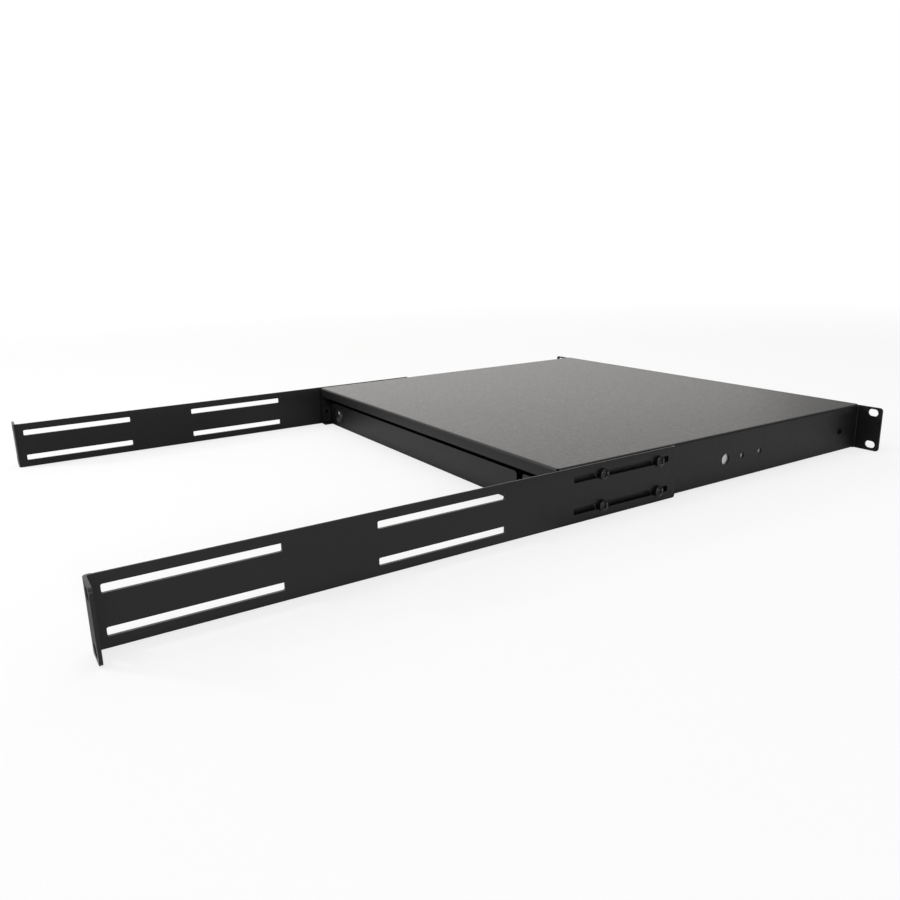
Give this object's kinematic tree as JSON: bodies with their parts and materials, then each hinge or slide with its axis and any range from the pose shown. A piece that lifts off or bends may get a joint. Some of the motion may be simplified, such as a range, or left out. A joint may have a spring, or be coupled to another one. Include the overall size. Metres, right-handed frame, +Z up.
{
  "type": "rack keyboard drawer",
  "caption": "Low sheet-metal rack drawer with front ears, slotted rear mounting brackets, telescopic ball-bearing slides and a pull-out tray.",
  "frame": {"origin": "centre of the four front rack holes, on the rear face of the front ears", "axes": "+X to the right seen from the front, +Y to the rear of the rack, +Z up"},
  "size_m": [0.4826, 0.7438, 0.0436],
  "materials": {
    "powder_coated_steel": "fine-texture black powder coat",
    "powder_coated_inner": "fine-texture black powder coat",
    "powder_coated_front": "fine-texture black powder coat",
    "black_screws": "black oxide, semi-gloss",
    "black_washers": "black oxide, satin",
    "zinc_fasteners": "bright zinc plate",
    "zinc_slide_steel": "bright zinc plate",
    "cage_steel": "cold rolled, bright",
    "ball_steel": "polished",
    "stop_rubber": "matt",
    "lever_plastic": "moulded, satin",
    "plug_nylon": "moulded, glossy",
    "handle_coat": "smooth black coat"
  },
  "bodies": {
    "housing": {"housing_shell": "powder_coated_steel", "rear_panel": "powder_coated_inner", "rear_panel_rivets": "black_screws", "hole_plug": "plug_nylon", "left_clinch_nuts": "zinc_fasteners", "left_bracket_screws": "black_screws", "left_bracket_washers": "black_washers", "left_slide_outer": "zinc_slide_steel", "left_slide_rivets": "black_screws", "left_slide_stop": "stop_rubber", "right_clinch_nuts": "zinc_fasteners", "right_bracket_screws": "black_screws", "right_bracket_washers": "black_washers", "right_slide_outer": "zinc_slide_steel", "right_slide_rivets": "black_screws", "right_slide_stop": "stop_rubber"},
    "left_bracket": {"left_rear_bracket": "powder_coated_steel"},
    "right_bracket": {"right_rear_bracket": "powder_coated_steel"},
    "left_middle_member": {"left_slide_middle": "zinc_slide_steel"},
    "left_outer_cage": {"left_outer_ball_cage": "cage_steel", "left_outer_balls": "ball_steel"},
    "left_inner_cage": {"left_inner_ball_cage": "cage_steel", "left_inner_balls": "ball_steel"},
    "left_lever": {"left_release_lever": "lever_plastic"},
    "right_middle_member": {"right_slide_middle": "zinc_slide_steel"},
    "right_outer_cage": {"right_outer_ball_cage": "cage_steel", "right_outer_balls": "ball_steel"},
    "right_inner_cage": {"right_inner_ball_cage": "cage_steel", "right_inner_balls": "ball_steel"},
    "right_lever": {"right_release_lever": "lever_plastic"},
    "drawer": {"drawer_tray": "powder_coated_inner", "front_panel": "powder_coated_front", "panel_screws": "black_screws", "left_handle": "handle_coat", "right_handle": "handle_coat", "handle_screws": "zinc_fasteners", "left_slide_inner": "zinc_slide_steel", "left_slide_screws": "zinc_fasteners", "left_lever_pin": "zinc_fasteners", "right_slide_inner": "zinc_slide_steel", "right_slide_screws": "zinc_fasteners", "right_lever_pin": "zinc_fasteners"}
  },
  "joints": [
    {"name": "drawer_travel", "type": "slide", "parent": "housing", "child": "drawer", "axis": [0, -1, 0], "range_m": [0, 0.3]},
    {"name": "left_middle_member_travel", "type": "slide", "parent": "housing", "child": "left_middle_member", "axis": [0, -1, 0], "range_m": [0, 0.15]},
    {"name": "left_outer_cage_travel", "type": "slide", "parent": "housing", "child": "left_outer_cage", "axis": [0, -1, 0], "range_m": [0, 0.075]},
    {"name": "left_inner_cage_travel", "type": "slide", "parent": "housing", "child": "left_inner_cage", "axis": [0, -1, 0], "range_m": [0, 0.225]},
    {"name": "left_bracket_depth", "type": "slide", "parent": "housing", "child": "left_bracket", "axis": [0, 1, 0], "range_m": [-0.0258, 0.0086]},
    {"name": "left_lever_turn", "type": "hinge", "parent": "drawer", "child": "left_lever", "pos_m": [-0.2049, 0.054, -0.002], "axis": [1, 0, 0], "range_deg": [-5, 5]},
    {"name": "right_middle_member_travel", "type": "slide", "parent": "housing", "child": "right_middle_member", "axis": [0, -1, 0], "range_m": [0, 0.15]},
    {"name": "right_outer_cage_travel", "type": "slide", "parent": "housing", "child": "right_outer_cage", "axis": [0, -1, 0], "range_m": [0, 0.075]},
    {"name": "right_inner_cage_travel", "type": "slide", "parent": "housing", "child": "right_inner_cage", "axis": [0, -1, 0], "range_m": [0, 0.225]},
    {"name": "right_bracket_depth", "type": "slide", "parent": "housing", "child": "right_bracket", "axis": [0, 1, 0], "range_m": [-0.0258, 0.0086]},
    {"name": "right_lever_turn", "type": "hinge", "parent": "drawer", "child": "right_lever", "pos_m": [0.2049, 0.054, -0.002], "axis": [1, 0, 0], "range_deg": [-5, 5]}
  ],
  "couplings": [
    {"joint": "left_middle_member_travel", "follows": "drawer_travel", "ratio": 0.5},
    {"joint": "left_outer_cage_travel", "follows": "drawer_travel", "ratio": 0.25},
    {"joint": "left_inner_cage_travel", "follows": "drawer_travel", "ratio": 0.75},
    {"joint": "right_middle_member_travel", "follows": "drawer_travel", "ratio": 0.5},
    {"joint": "right_outer_cage_travel", "follows": "drawer_travel", "ratio": 0.25},
    {"joint": "right_inner_cage_travel", "follows": "drawer_travel", "ratio": 0.75}
  ]
}
